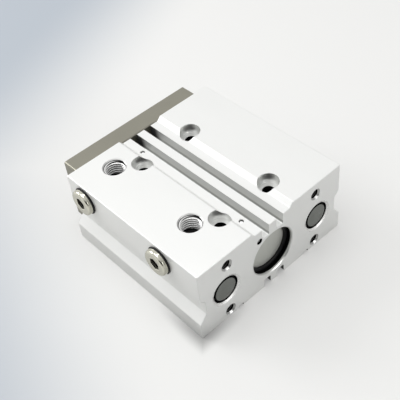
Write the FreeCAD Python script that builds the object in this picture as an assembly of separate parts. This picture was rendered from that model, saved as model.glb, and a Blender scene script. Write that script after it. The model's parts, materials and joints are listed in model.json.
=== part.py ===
import FreeCAD, Part
import math
import os

# Guided pneumatic cylinder: a 20 mm bore with two guide rods in one extruded body.
# x runs across the body, y along the stroke towards the front plate, z up.
# The origin is the centre of the body's flat base. All lengths are millimetres.

V = FreeCAD.Vector
X = V(1, 0, 0)
Y = V(0, 1, 0)
Z = V(0, 0, 1)

# --- driving dimensions ---------------------------------------------------
BORE_R = 10.0                    # cylinder bore, 20 mm
STROKE = 45.0
BODY_LENGTH = 37.0 + STROKE
BODY_HEIGHT = 38.0
TOP_HALF_WIDTH = 41.0
BASE_HALF_WIDTH = 42.0
AXIS_Z = 17.8                    # height of the bore and of both guide rods
GUIDE_X = 27.0                   # half of the 54 mm guide rod spacing
PISTON_ROD_R = 5.0
GUIDE_ROD_R = 6.0
RUNNING_FIT = 0.04               # radial, rods in their bushes
WALL_GAP = 0.3                   # between a stopped moving piece and its stop

REAR_Y = -BODY_LENGTH / 2
FRONT_Y = BODY_LENGTH / 2

# extruded outline
NOTCH_X = 38.4                   # depth line of the long side notches
NOTCH_Z = (8.6, 13.0, 20.5, 23.0)
NOTCH_INNER_R = 0.8
EDGE_R = 0.4                     # corners of the outline
RECESS_DEPTH = 2.0               # shallow channel along the top
RECESS_HALF_TOP = 12.1
RECESS_HALF_FLOOR = 10.2
SLOT_X = 4.05                    # sensor slots, two above and two below
SLOT_WIDTH = 3.9
SLOT_CORNER_R = 0.7
TOP_SLOT_FLOOR_Z = 30.5
BASE_SLOT_DEPTH = 4.4
BASE_SLOT_LIP_R = 0.8
RELIEF_X = 20.0                  # shallow relief flutes along the base
RELIEF_WIDTH = 3.0
RELIEF_DEPTH = 1.4
RELIEF_CORNER_R = 0.6
END_CHAMFER = 0.25

# ends of the cylinder bore
COVER_R = 11.5                   # seats of the head cover and rod cover
HEAD_SEAT_DEPTH = 9.5
ROD_SEAT_DEPTH = 10.0
MOUTH_CHAMFER = 0.4
RING_GROOVE_R = 12.2
RING_THICKNESS = 1.2
RING_INNER_R = 10.4
RING_PLAY = 0.03                 # each side of the ring in its groove
RING_GAP = 14                    # degrees left open
HEAD_RING_DEPTH = 3.0            # rear face of the body to the retaining ring
ROD_RING_DEPTH = 1.4
COVER_FIT = 0.1                  # radial, covers in their seats
COVER_GROOVE = (1.5, 3.5)        # the covers' O-ring grooves, from their inner shoulder
COVER_GROOVE_R = 10.1            # floor of those grooves
O_RING_WIDTH = 1.7
BOSS_R = 10.1                    # raised middle of the head cover, inside the ring
BOSS_EDGE = 0.3
BOSS_HEIGHT = 0.3
HEAD_COVER_LEAD = 1.1            # chamfer that leads the head cover into its seat

NOSE_R = 9.2                     # nose of the rod cover, inside the bore
NOSE_LENGTH = 4.5
BUMPER_SEAT_R = 6.3
BUMPER_OUTER_R = 8.8
BUMPER_PROUD = 0.8
BUMPER_SUNK = 1.0
ROD_LIP = 0.8                    # lip in front of the rod seal
ROD_SEAL_R = 7.6
ROD_SEAL_LENGTH = 2.4

# piston, grooves measured from its rear face
SPIGOT_R = 3.5                   # reduced end of the piston rod
RIVET_DEPTH = 1.0
SEAL_GROOVE = (1.3, 3.7)
SEAL_FLOOR_R = 7.2
MAGNET_GROOVE = (4.7, 7.1)
MAGNET_FLOOR_R = 6.8
WEAR_GROOVE = (7.9, 9.9)
WEAR_FLOOR_R = 9.0
SEAL_LIP = 0.5                   # width of each lip of the piston seal
SEAL_VALLEY = 0.7                # hollow between the two lips

# guide rod bores
GUIDE_CLEAR_R = 6.6
GUIDE_CHAMFER = 1.0
BUSH_R = 7.0
BUSH_LENGTH = 14.0
BUSH_SHOULDER_Y = 6.0
FRONT_BUSH_RECESS = 2.0
ROD_END_RECESS = 1.0
ROD_CHAMFER = 0.6

# mounting holes
BOLT_X = 14.0
BOLT_Y = (-25.5, 22.5)
BOLT_CLEAR_R = 2.8
COUNTERBORE_R = 4.75
COUNTERBORE_DEPTH = 5.5
BASE_CHAMFER = 0.45              # the holes are threaded M6 near the base
REAR_THREAD_R = 2.5              # M5 threads
REAR_THREAD_DEPTH = 12.0
REAR_HOLE_X = 25.7
REAR_HOLE_Z = (AXIS_Z - 14.0, AXIS_Z + 14.0)
THREAD_CHAMFER = 0.35

# air ports and passages
PORT_X = -23.7
PORT_Y = (-18.8, 29.6)
PORT_R = 4.86                    # 1/8 pipe thread
PORT_DEPTH = 9.0
PORT_CHAMFER = 0.5
SIDE_PORT_Z = 30.5
SIDE_PORT_DEPTH = 7.5
CROSS_PASSAGE_R = 1.6
AXIAL_PASSAGE = (-7.6, 30.4)
AXIAL_PASSAGE_R = 1.45
DOWN_PASSAGE_X = -8.1
DOWN_PASSAGE_Y = (-31.6, 29.6)
DOWN_PASSAGE_R = 1.1
DOWN_PASSAGE_END_Z = 21.5
BALL_SINK = 0.5                  # how far a sealing ball sits below its mouth

# side port plugs
PLUG_THREAD_R = 4.8
PLUG_THREAD_LENGTH = 6.0
PLUG_HEAD_R = 6.1
PLUG_HEAD_HEIGHT = 2.2
PLUG_EDGE_R = 1.1
PLUG_SOCKET_AF = 5.0
PLUG_SOCKET_DEPTH = 3.6
PLUG_SEAL_R = 6.5
PLUG_SEAL_HEIGHT = 0.8

# front plate
PLATE_GAP = 0.5
PLATE_THICKNESS = 10.0
PLATE_HALF_WIDTH = 35.6
PLATE_Z = (3.3, 35.8)
PLATE_CORNER_R = 0.8
PLATE_EDGE = 0.4
PLATE_THREAD_R = 2.5             # M5 threads
PLATE_HOLE_X = 30.0
PLATE_HOLE_Z = (AXIS_Z - 10.0, AXIS_Z + 10.0)
PLATE_Y = FRONT_Y + PLATE_GAP

# M6 socket head bolts that hold the three rods to the plate
BOLT_SHANK_R = 3.0
BOLT_HEAD_R = 5.0
BOLT_HEAD_HEIGHT = 6.0
BOLT_HEAD_CHAMFER = 0.4
BOLT_SOCKET_AF = 5.0
BOLT_SOCKET_DEPTH = 3.0
BOLT_HOLE_R = 3.3
BOLT_SEAT_R = 5.4
BOLT_SEAT_DEPTH = 6.5
BOLT_REACH = 15.0                # thread engaged in the rod
BOLT_END_GAP = 1.0               # left beyond the bolt in its tapped hole
DRILL_POINT = 1.7

# stations along the bore
HEAD_FACE_Y = REAR_Y + HEAD_SEAT_DEPTH
ROD_SEAT_Y = FRONT_Y - ROD_SEAT_DEPTH
NOSE_Y = ROD_SEAT_Y - NOSE_LENGTH
PISTON_REAR_Y = HEAD_FACE_Y + BUMPER_PROUD + WALL_GAP
PISTON_FRONT_Y = NOSE_Y - BUMPER_PROUD - WALL_GAP - STROKE
ROD_COVER_Y = FRONT_Y - ROD_RING_DEPTH - RING_THICKNESS
PISTON_R = BORE_R - 0.3
SEALED_R = BORE_R - 0.05         # piston seal and wear ring


# --- helpers --------------------------------------------------------------
def rounded_face(corners, y):
    """Face across the body at y, from (x, z, corner radius) corners in order."""
    bends = []
    for i, (x, z, radius) in enumerate(corners):
        here = V(x, y, z)
        back = corners[i - 1]
        ahead = corners[(i + 1) % len(corners)]
        towards_back = V(back[0] - x, 0, back[1] - z).normalize()
        towards_ahead = V(ahead[0] - x, 0, ahead[1] - z).normalize()
        half_angle = towards_back.getAngle(towards_ahead) / 2
        setback = radius / math.tan(half_angle)
        inward = (towards_back + towards_ahead).normalize()
        middle = here + inward * (radius / math.sin(half_angle) - radius)
        bends.append((here + towards_back * setback, middle, here + towards_ahead * setback))
    edges = []
    for i, (start, middle, end) in enumerate(bends):
        if corners[i][2] > 0:
            edges.append(Part.Arc(start, middle, end).toShape())
        edges.append(Part.makeLine(end, bends[(i + 1) % len(bends)][0]))
    return Part.Face(Part.Wire(edges))


def along_body(corners):
    """Prism of a cross-section over the full length of the body."""
    return rounded_face(corners, REAR_Y).extrude(Y * BODY_LENGTH)


def end_rims(prism):
    """Edges round the two end faces of a prism along y."""
    return [edge for edge in prism.Edges
            if abs(edge.firstVertex().Point.y - edge.lastVertex().Point.y) < 1e-6]


def mirrored(half):
    """Closed outline from its right half, listed from the base upwards."""
    return half + [(-x, z, radius) for x, z, radius in reversed(half)]


def drill(radius, mouth, direction, depth):
    """Flat-bottomed hole or plain pin from its mouth along a direction."""
    return Part.makeCylinder(radius, depth, mouth, direction)


def countersink(radius, width, mouth, direction):
    """45 degree chamfer round the mouth of a hole."""
    return Part.makeCone(radius + width, radius, width, mouth, direction)


def turned(profile, origin, direction, start_angle=0, sweep=360):
    """Body of revolution from (distance along the axis, radius) points."""
    sideways = Z if abs(direction.dot(Z)) < 0.5 else X
    points = [origin + direction * along + sideways * radius for along, radius in profile]
    face = Part.Face(Part.makePolygon(points + [points[0]]))
    if start_angle:
        face.rotate(origin, direction, start_angle)
    return face.revolve(origin, direction, sweep)


def ring(inner_r, outer_r, start_y, end_y, x=0.0):
    """Square-edged sleeve round a line along y."""
    profile = [(start_y, inner_r), (end_y, inner_r), (end_y, outer_r), (start_y, outer_r)]
    return turned(profile, V(x, 0, AXIS_Z), Y)


def o_ring(inner_r, outer_r, width, centre_y):
    """O-ring squeezed between its groove and its seat, round the bore axis."""
    middle_r = (inner_r + outer_r) / 2
    flat = width / 4
    profile = [(centre_y - flat, inner_r), (centre_y + flat, inner_r), (centre_y + width / 2, middle_r),
               (centre_y + flat, outer_r), (centre_y - flat, outer_r), (centre_y - width / 2, middle_r)]
    return turned(profile, V(0, 0, AXIS_Z), Y)


def ball(radius, centre):
    """Small steel ball."""
    return Part.makeSphere(radius, centre)


def hexagon(across_flats, mouth, direction, depth):
    """Hexagonal prism, one corner towards +z."""
    corner_r = across_flats / math.sqrt(3)
    side = direction.cross(Z)
    points = []
    for i in range(6):
        angle = math.radians(60 * i)
        points.append(mouth + Z * (corner_r * math.cos(angle)) + side * (corner_r * math.sin(angle)))
    return Part.Face(Part.makePolygon(points + [points[0]])).extrude(direction * depth)


def socket_bolt(x):
    """M6 socket head bolt from the front plate into a rod end."""
    seat_y = PLATE_Y + PLATE_THICKNESS - BOLT_SEAT_DEPTH
    origin = V(x, seat_y, AXIS_Z)
    reach = PLATE_THICKNESS - BOLT_SEAT_DEPTH + BOLT_REACH
    profile = [(-reach, 0), (-reach, BOLT_SHANK_R), (0, BOLT_SHANK_R), (0, BOLT_HEAD_R),
               (BOLT_HEAD_HEIGHT - BOLT_HEAD_CHAMFER, BOLT_HEAD_R),
               (BOLT_HEAD_HEIGHT, BOLT_HEAD_R - BOLT_HEAD_CHAMFER), (BOLT_HEAD_HEIGHT, 0)]
    socket = hexagon(BOLT_SOCKET_AF, origin + Y * BOLT_HEAD_HEIGHT, -Y, BOLT_SOCKET_DEPTH)
    return turned(profile, origin, Y).cut(socket)


# --- the extruded body ----------------------------------------------------
def body_outline():
    """Cross-section of the extrusion without its sensor slots."""
    return mirrored([
        (BASE_HALF_WIDTH, 0, EDGE_R),
        (BASE_HALF_WIDTH, NOTCH_Z[0], EDGE_R),
        (NOTCH_X, NOTCH_Z[1], NOTCH_INNER_R),
        (NOTCH_X, NOTCH_Z[2], NOTCH_INNER_R),
        (TOP_HALF_WIDTH, NOTCH_Z[3], EDGE_R),
        (TOP_HALF_WIDTH, BODY_HEIGHT, EDGE_R),
        (RECESS_HALF_TOP, BODY_HEIGHT, EDGE_R),
        (RECESS_HALF_FLOOR, BODY_HEIGHT - RECESS_DEPTH, EDGE_R),
    ])


def slot_cutters():
    """The four sensor slots and the two relief flutes, over the whole length."""
    half = SLOT_WIDTH / 2
    lip = half + BASE_SLOT_LIP_R
    cutters = []
    for side in (-1, 1):
        x = side * SLOT_X
        cutters.append(along_body([
            (x - half, TOP_SLOT_FLOOR_Z, SLOT_CORNER_R), (x + half, TOP_SLOT_FLOOR_Z, SLOT_CORNER_R),
            (x + half, BODY_HEIGHT, 0), (x - half, BODY_HEIGHT, 0)]))
        cutters.append(along_body([
            (x - half, BASE_SLOT_DEPTH, SLOT_CORNER_R), (x + half, BASE_SLOT_DEPTH, SLOT_CORNER_R),
            (x + half, 0, BASE_SLOT_LIP_R), (x + lip + 1, 0, 0), (x + lip + 1, -1, 0),
            (x - lip - 1, -1, 0), (x - lip - 1, 0, 0), (x - half, 0, BASE_SLOT_LIP_R)]))
        left, right = side * RELIEF_X - RELIEF_WIDTH / 2, side * RELIEF_X + RELIEF_WIDTH / 2
        cutters.append(along_body([
            (left, -1, 0), (right, -1, 0),
            (right, RELIEF_DEPTH, RELIEF_CORNER_R), (left, RELIEF_DEPTH, RELIEF_CORNER_R)]))
    return cutters


def bore_cutters():
    """Cylinder bore with its cover seats and retaining ring grooves."""
    origin = V(0, 0, AXIS_Z)
    head_ring_y = REAR_Y + HEAD_RING_DEPTH
    rod_ring_y = FRONT_Y - ROD_RING_DEPTH
    mouth_r = COVER_R + MOUTH_CHAMFER
    profile = [
        (REAR_Y, 0), (REAR_Y, mouth_r), (REAR_Y + MOUTH_CHAMFER, COVER_R),
        (head_ring_y, COVER_R), (head_ring_y, RING_GROOVE_R),
        (head_ring_y + RING_THICKNESS, RING_GROOVE_R), (head_ring_y + RING_THICKNESS, COVER_R),
        (HEAD_FACE_Y, COVER_R), (HEAD_FACE_Y, BORE_R),
        (ROD_SEAT_Y, BORE_R), (ROD_SEAT_Y, COVER_R),
        (rod_ring_y - RING_THICKNESS, COVER_R), (rod_ring_y - RING_THICKNESS, RING_GROOVE_R),
        (rod_ring_y, RING_GROOVE_R), (rod_ring_y, COVER_R),
        (FRONT_Y - MOUTH_CHAMFER, COVER_R), (FRONT_Y, mouth_r), (FRONT_Y, 0)]
    return [turned(profile, origin, Y)]


def guide_cutters():
    """Guide rod bores: clear at the rear, bush seats at the front."""
    cutters = []
    for side in (-1, 1):
        profile = [
            (REAR_Y, 0), (REAR_Y, GUIDE_CLEAR_R + GUIDE_CHAMFER),
            (REAR_Y + GUIDE_CHAMFER, GUIDE_CLEAR_R), (BUSH_SHOULDER_Y, GUIDE_CLEAR_R),
            (BUSH_SHOULDER_Y, BUSH_R), (FRONT_Y - GUIDE_CHAMFER, BUSH_R),
            (FRONT_Y, BUSH_R + GUIDE_CHAMFER), (FRONT_Y, 0)]
        cutters.append(turned(profile, V(side * GUIDE_X, 0, AXIS_Z), Y))
    return cutters


def mounting_cutters():
    """Counterbored through holes, base threads and rear face threads."""
    cutters = []
    for side in (-1, 1):
        for y in BOLT_Y:
            base = V(side * BOLT_X, y, 0)
            top = base + Z * BODY_HEIGHT
            cutters.append(drill(BOLT_CLEAR_R, base, Z, BODY_HEIGHT))
            cutters.append(drill(COUNTERBORE_R, top, -Z, COUNTERBORE_DEPTH))
            cutters.append(countersink(BOLT_CLEAR_R, BASE_CHAMFER, base, Z))
        for z in REAR_HOLE_Z:
            mouth = V(side * REAR_HOLE_X, REAR_Y, z)
            cutters.append(drill(REAR_THREAD_R, mouth, Y, REAR_THREAD_DEPTH))
            cutters.append(countersink(REAR_THREAD_R, THREAD_CHAMFER, mouth, Y))
    return cutters


def air_cutters():
    """Top and side ports with the drilled passages that lead to the bore."""
    cutters = []
    for y in PORT_Y:
        top = V(PORT_X, y, BODY_HEIGHT)
        wall = V(-TOP_HALF_WIDTH, y, SIDE_PORT_Z)
        cutters.append(drill(PORT_R, top, -Z, PORT_DEPTH))
        cutters.append(countersink(PORT_R, PORT_CHAMFER, top, -Z))
        cutters.append(drill(PORT_R, wall, X, SIDE_PORT_DEPTH))
        cutters.append(drill(CROSS_PASSAGE_R, wall, X, TOP_HALF_WIDTH + AXIAL_PASSAGE[0]))
    for y in DOWN_PASSAGE_Y:
        mouth = V(DOWN_PASSAGE_X, y, BODY_HEIGHT - RECESS_DEPTH)
        cutters.append(drill(DOWN_PASSAGE_R, mouth, -Z, mouth.z - DOWN_PASSAGE_END_Z))
    rear_mouth = V(AXIAL_PASSAGE[0], REAR_Y, AXIAL_PASSAGE[1])
    length = PORT_Y[0] + CROSS_PASSAGE_R - REAR_Y
    cutters.append(drill(AXIAL_PASSAGE_R, rear_mouth, Y, length))
    return cutters


def body():
    """Extruded housing with every slot, bore, thread, port and passage."""
    block = along_body(body_outline())
    block = block.makeChamfer(END_CHAMFER, end_rims(block))
    cutters = slot_cutters() + bore_cutters() + guide_cutters() + mounting_cutters() + air_cutters()
    return block.cut(cutters).removeSplitter()


# --- rear end of the bore -------------------------------------------------
def head_cover():
    """Plug that closes the rear of the bore, grooved for its gasket."""
    outer = COVER_R - COVER_FIT
    shoulder_y = REAR_Y + HEAD_RING_DEPTH + RING_THICKNESS
    boss_y = shoulder_y - BOSS_HEIGHT
    groove = [shoulder_y + along for along in COVER_GROOVE]
    profile = [
        (boss_y, 0), (boss_y, BOSS_R - 2 * BOSS_EDGE), (boss_y + BOSS_EDGE / 3, BOSS_R - 2 * BOSS_EDGE / 3),
        (shoulder_y, BOSS_R), (shoulder_y, outer), (groove[0], outer), (groove[0], COVER_GROOVE_R),
        (groove[1], COVER_GROOVE_R), (groove[1], outer), (HEAD_FACE_Y - HEAD_COVER_LEAD, outer),
        (HEAD_FACE_Y, outer - HEAD_COVER_LEAD), (HEAD_FACE_Y, BUMPER_SEAT_R),
        (HEAD_FACE_Y - BUMPER_SUNK, BUMPER_SEAT_R), (HEAD_FACE_Y - BUMPER_SUNK, 0)]
    return turned(profile, V(0, 0, AXIS_Z), Y)


def head_cover_gasket():
    """O-ring in the head cover's groove."""
    centre_y = REAR_Y + HEAD_RING_DEPTH + RING_THICKNESS + sum(COVER_GROOVE) / 2
    return o_ring(COVER_GROOVE_R, COVER_R, O_RING_WIDTH, centre_y)


def head_bumper():
    """Rubber disc that stops the piston at the head end."""
    rim = HEAD_FACE_Y + BUMPER_PROUD
    floor_y = HEAD_FACE_Y - BUMPER_SUNK
    return drill(BUMPER_SEAT_R - COVER_FIT, V(0, floor_y, AXIS_Z), Y, rim - floor_y)


def retaining_ring(start_y, gap_angle):
    """Snap ring of even section, open at the given angle from +z."""
    rear_y = start_y + RING_PLAY
    front_y = start_y + RING_THICKNESS - RING_PLAY
    outer = RING_GROOVE_R - COVER_FIT
    profile = [(rear_y, RING_INNER_R), (rear_y, outer), (front_y, outer), (front_y, RING_INNER_R)]
    return turned(profile, V(0, 0, AXIS_Z), Y, gap_angle + RING_GAP / 2, 360 - RING_GAP)


# --- front end of the bore ------------------------------------------------
def rod_cover():
    """Front cover that carries the rod bush, rod seal and gasket."""
    outer = COVER_R - COVER_FIT
    groove = [ROD_SEAT_Y + along for along in COVER_GROOVE]
    seal = (ROD_COVER_Y - ROD_LIP - ROD_SEAL_LENGTH, ROD_COVER_Y - ROD_LIP)
    profile = [
        (NOSE_Y + BUMPER_SUNK, BUMPER_SEAT_R), (NOSE_Y + BUMPER_SUNK, BUMPER_OUTER_R + COVER_FIT),
        (NOSE_Y, BUMPER_OUTER_R + COVER_FIT), (NOSE_Y, NOSE_R), (ROD_SEAT_Y, NOSE_R),
        (ROD_SEAT_Y, outer), (groove[0], outer), (groove[0], COVER_GROOVE_R),
        (groove[1], COVER_GROOVE_R), (groove[1], outer), (ROD_COVER_Y, outer),
        (ROD_COVER_Y, PISTON_ROD_R + 2 * WALL_GAP), (ROD_COVER_Y - WALL_GAP, PISTON_ROD_R + WALL_GAP),
        (seal[1], PISTON_ROD_R + WALL_GAP), (seal[1], ROD_SEAL_R), (seal[0], ROD_SEAL_R),
        (seal[0], BUMPER_SEAT_R)]
    return turned(profile, V(0, 0, AXIS_Z), Y)


def rod_cover_gasket():
    """O-ring in the rod cover's groove."""
    return o_ring(COVER_GROOVE_R, COVER_R, O_RING_WIDTH, ROD_SEAT_Y + sum(COVER_GROOVE) / 2)


def rod_bush():
    """Plain bearing that guides the piston rod."""
    front_y = ROD_COVER_Y - ROD_LIP - ROD_SEAL_LENGTH - 0.2
    return ring(PISTON_ROD_R + RUNNING_FIT, BUMPER_SEAT_R, NOSE_Y + BUMPER_SUNK, front_y)


def rod_seal():
    """U-cup seal round the piston rod, its open side towards the pressure."""
    front_y = ROD_COVER_Y - ROD_LIP
    rear_y = front_y - ROD_SEAL_LENGTH
    inner = PISTON_ROD_R + RUNNING_FIT
    profile = [(rear_y, inner), (rear_y, inner + 0.8), (rear_y + 1.2, inner + 1.3),
               (rear_y, ROD_SEAL_R - 0.8), (rear_y, ROD_SEAL_R), (front_y, ROD_SEAL_R),
               (front_y, inner + 0.3)]
    return turned(profile, V(0, 0, AXIS_Z), Y)


def rod_cover_bumper():
    """Rubber ring that stops the piston at the rod end."""
    inner = BUMPER_SEAT_R + COVER_FIT
    return ring(inner, BUMPER_OUTER_R, NOSE_Y - BUMPER_PROUD, NOSE_Y + BUMPER_SUNK)


# --- guide bushes, plugs and balls ----------------------------------------
def guide_bush(side, start_y):
    """Plain bearing of a guide rod."""
    return ring(GUIDE_ROD_R + RUNNING_FIT, BUSH_R, start_y, start_y + BUSH_LENGTH, side * GUIDE_X)


def port_plug(y):
    """Plug of a side port, with a low round head and a hexagon socket."""
    origin = V(-TOP_HALF_WIDTH, y, SIDE_PORT_Z)
    crown = PLUG_SEAL_HEIGHT + PLUG_HEAD_HEIGHT
    profile = [(-PLUG_THREAD_LENGTH, 0), (-PLUG_THREAD_LENGTH, PLUG_THREAD_R),
               (PLUG_SEAL_HEIGHT, PLUG_THREAD_R), (PLUG_SEAL_HEIGHT, PLUG_HEAD_R)]
    for degrees in (0, 30, 60, 90):
        angle = math.radians(degrees)
        profile.append((crown - PLUG_EDGE_R * (1 - math.sin(angle)),
                        PLUG_HEAD_R - PLUG_EDGE_R * (1 - math.cos(angle))))
    profile.append((crown, 0))
    socket = hexagon(PLUG_SOCKET_AF, origin - X * crown, X, PLUG_SOCKET_DEPTH)
    return turned(profile, origin, -X).cut(socket)


def port_plug_seal(y):
    """Seal washer between the plug's head and the body."""
    profile = [(0, PLUG_THREAD_R + 0.05), (PLUG_SEAL_HEIGHT, PLUG_THREAD_R + 0.05),
               (PLUG_SEAL_HEIGHT, PLUG_SEAL_R - 0.25), (PLUG_SEAL_HEIGHT / 2, PLUG_SEAL_R),
               (0, PLUG_SEAL_R - 0.25)]
    return turned(profile, V(-TOP_HALF_WIDTH, y, SIDE_PORT_Z), -X)


def top_passage_balls():
    """Steel balls that close the two drilled holes in the top channel."""
    centre_z = BODY_HEIGHT - RECESS_DEPTH - BALL_SINK - DOWN_PASSAGE_R
    return Part.makeCompound([ball(DOWN_PASSAGE_R, V(DOWN_PASSAGE_X, y, centre_z))
                              for y in DOWN_PASSAGE_Y])


def rear_passage_ball():
    """Steel ball that closes the long drilled hole in the rear face."""
    centre_y = REAR_Y + BALL_SINK + AXIAL_PASSAGE_R
    return ball(AXIAL_PASSAGE_R, V(AXIAL_PASSAGE[0], centre_y, AXIAL_PASSAGE[1]))


# --- moving group ---------------------------------------------------------
def tapped_end(radius):
    """Profile points of a rod's front end, with its drilled hole for an M6 bolt."""
    floor_y = PLATE_Y - BOLT_REACH - BOLT_END_GAP
    return [(PLATE_Y, radius), (PLATE_Y, BOLT_SHANK_R), (floor_y, BOLT_SHANK_R), (floor_y - DRILL_POINT, 0)]


def piston():
    """Piston, grooved for its seal, magnet and wear ring."""
    profile = [(PISTON_REAR_Y + RIVET_DEPTH, SPIGOT_R), (PISTON_REAR_Y, SPIGOT_R + RIVET_DEPTH),
               (PISTON_REAR_Y, PISTON_R)]
    grooves = ((SEAL_GROOVE, SEAL_FLOOR_R), (MAGNET_GROOVE, MAGNET_FLOOR_R), (WEAR_GROOVE, WEAR_FLOOR_R))
    for groove, floor_r in grooves:
        start, end = (PISTON_REAR_Y + along for along in groove)
        profile += [(start, PISTON_R), (start, floor_r), (end, floor_r), (end, PISTON_R)]
    profile += [(PISTON_FRONT_Y, PISTON_R), (PISTON_FRONT_Y, SPIGOT_R)]
    return turned(profile, V(0, 0, AXIS_Z), Y)


def piston_seal():
    """Double-lipped seal in the piston's rear groove."""
    start, end = (PISTON_REAR_Y + along for along in SEAL_GROOVE)
    valley = ((start + end) / 2, SEALED_R - SEAL_VALLEY)
    profile = [(start, SEAL_FLOOR_R), (start, SEALED_R), (start + SEAL_LIP, SEALED_R), valley,
               (end - SEAL_LIP, SEALED_R), (end, SEALED_R), (end, SEAL_FLOOR_R)]
    return turned(profile, V(0, 0, AXIS_Z), Y)


def piston_magnet():
    """Magnet ring that the sensors in the slots detect."""
    start, end = (PISTON_REAR_Y + along for along in MAGNET_GROOVE)
    return ring(MAGNET_FLOOR_R, PISTON_R - WALL_GAP, start, end)


def piston_wear_ring():
    """Slide ring that keeps the piston off the bore."""
    start, end = (PISTON_REAR_Y + along for along in WEAR_GROOVE)
    return ring(WEAR_FLOOR_R, SEALED_R, start, end)


def piston_rod():
    """Rod with a riveted spigot through the piston and a tapped front end."""
    profile = [
        (PISTON_REAR_Y, 0), (PISTON_REAR_Y, SPIGOT_R + RIVET_DEPTH),
        (PISTON_REAR_Y + RIVET_DEPTH, SPIGOT_R), (PISTON_FRONT_Y, SPIGOT_R),
        (PISTON_FRONT_Y, PISTON_ROD_R)] + tapped_end(PISTON_ROD_R)
    return turned(profile, V(0, 0, AXIS_Z), Y)


def guide_rod(side):
    """Guide rod, chamfered at the rear and tapped at the front for its plate bolt."""
    start_y = REAR_Y + ROD_END_RECESS
    profile = [(start_y, 0), (start_y, GUIDE_ROD_R - ROD_CHAMFER),
               (start_y + ROD_CHAMFER, GUIDE_ROD_R)] + tapped_end(GUIDE_ROD_R)
    return turned(profile, V(side * GUIDE_X, 0, AXIS_Z), Y)


def front_plate():
    """End plate with three bolt seats and four tapped mounting holes."""
    outline = mirrored([(PLATE_HALF_WIDTH, z, PLATE_CORNER_R) for z in PLATE_Z])
    plate = rounded_face(outline, PLATE_Y).extrude(Y * PLATE_THICKNESS)
    front_y = PLATE_Y + PLATE_THICKNESS
    plate = plate.makeChamfer(PLATE_EDGE, end_rims(plate))
    cutters = []
    for x in (-GUIDE_X, 0, GUIDE_X):
        mouth = V(x, front_y, AXIS_Z)
        cutters.append(drill(BOLT_HOLE_R, mouth, -Y, PLATE_THICKNESS))
        cutters.append(drill(BOLT_SEAT_R, mouth, -Y, BOLT_SEAT_DEPTH))
    for x in (-PLATE_HOLE_X, PLATE_HOLE_X):
        for z in PLATE_HOLE_Z:
            mouth = V(x, front_y, z)
            cutters.append(drill(PLATE_THREAD_R, mouth, -Y, PLATE_THICKNESS))
            cutters.append(countersink(PLATE_THREAD_R, THREAD_CHAMFER, mouth, -Y))
    return plate.cut(cutters)


def guide_rod_bolts():
    """The two bolts that hold the guide rods to the plate."""
    return Part.makeCompound([socket_bolt(-GUIDE_X), socket_bolt(GUIDE_X)])


def piston_rod_bolt():
    """The bolt that holds the piston rod to the plate."""
    return socket_bolt(0)


def sub_parts():
    """Every node of the assembly and its shape."""
    front_bush_y = FRONT_Y - FRONT_BUSH_RECESS - BUSH_LENGTH
    nodes = {
        "body": body(),
        "head_cover": head_cover(),
        "head_cover_gasket": head_cover_gasket(),
        "head_bumper": head_bumper(),
        "head_retaining_ring": retaining_ring(REAR_Y + HEAD_RING_DEPTH, -35),
        "rod_cover": rod_cover(),
        "rod_cover_gasket": rod_cover_gasket(),
        "rod_bush": rod_bush(),
        "rod_seal": rod_seal(),
        "rod_cover_bumper": rod_cover_bumper(),
        "rod_retaining_ring": retaining_ring(ROD_COVER_Y, 0),
        "top_passage_balls": top_passage_balls(),
        "rear_passage_ball": rear_passage_ball(),
        "piston": piston(),
        "piston_seal": piston_seal(),
        "piston_magnet": piston_magnet(),
        "piston_wear_ring": piston_wear_ring(),
        "piston_rod": piston_rod(),
        "front_plate": front_plate(),
        "guide_rod_bolts": guide_rod_bolts(),
        "piston_rod_bolt": piston_rod_bolt(),
    }
    for name, side in (("left", -1), ("right", 1)):
        nodes["guide_rod_" + name] = guide_rod(side)
        nodes["guide_bush_front_" + name] = guide_bush(side, front_bush_y)
        nodes["guide_bush_rear_" + name] = guide_bush(side, BUSH_SHOULDER_Y)
    for name, y in zip(("head", "rod"), PORT_Y):
        nodes[name + "_port_plug"] = port_plug(y)
        nodes[name + "_port_plug_seal"] = port_plug_seal(y)
    return nodes


os.makedirs("parts", exist_ok=True)
for node, shape in sub_parts().items():
    shape.exportStep("parts/" + node + ".step")
    print(node, "solids", len(shape.Solids), "valid", shape.isValid(), "volume", round(shape.Volume, 1))
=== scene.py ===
"""Looks of the guided pneumatic cylinder: finishes, port plugs, thread ridges, studio and camera."""

import json
import math
from collections import namedtuple

import bmesh
import bpy
from mathutils import Matrix, Vector

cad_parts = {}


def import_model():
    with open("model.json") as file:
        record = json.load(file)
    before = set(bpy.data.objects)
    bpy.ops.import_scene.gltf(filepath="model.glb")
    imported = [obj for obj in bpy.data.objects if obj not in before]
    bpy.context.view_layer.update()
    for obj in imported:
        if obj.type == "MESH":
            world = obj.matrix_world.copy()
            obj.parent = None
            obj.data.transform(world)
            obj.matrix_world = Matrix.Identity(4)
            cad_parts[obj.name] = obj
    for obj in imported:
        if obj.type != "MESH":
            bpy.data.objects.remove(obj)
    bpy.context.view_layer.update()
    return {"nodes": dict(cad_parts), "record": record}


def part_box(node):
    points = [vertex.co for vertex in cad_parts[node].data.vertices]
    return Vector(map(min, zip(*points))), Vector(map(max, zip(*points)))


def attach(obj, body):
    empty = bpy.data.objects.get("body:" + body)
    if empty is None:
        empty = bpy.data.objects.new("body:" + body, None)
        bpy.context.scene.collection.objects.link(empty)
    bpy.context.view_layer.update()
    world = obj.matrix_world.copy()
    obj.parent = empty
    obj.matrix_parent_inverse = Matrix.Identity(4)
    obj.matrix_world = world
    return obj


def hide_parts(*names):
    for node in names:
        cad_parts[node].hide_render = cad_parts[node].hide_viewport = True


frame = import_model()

MM = 0.001

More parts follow.
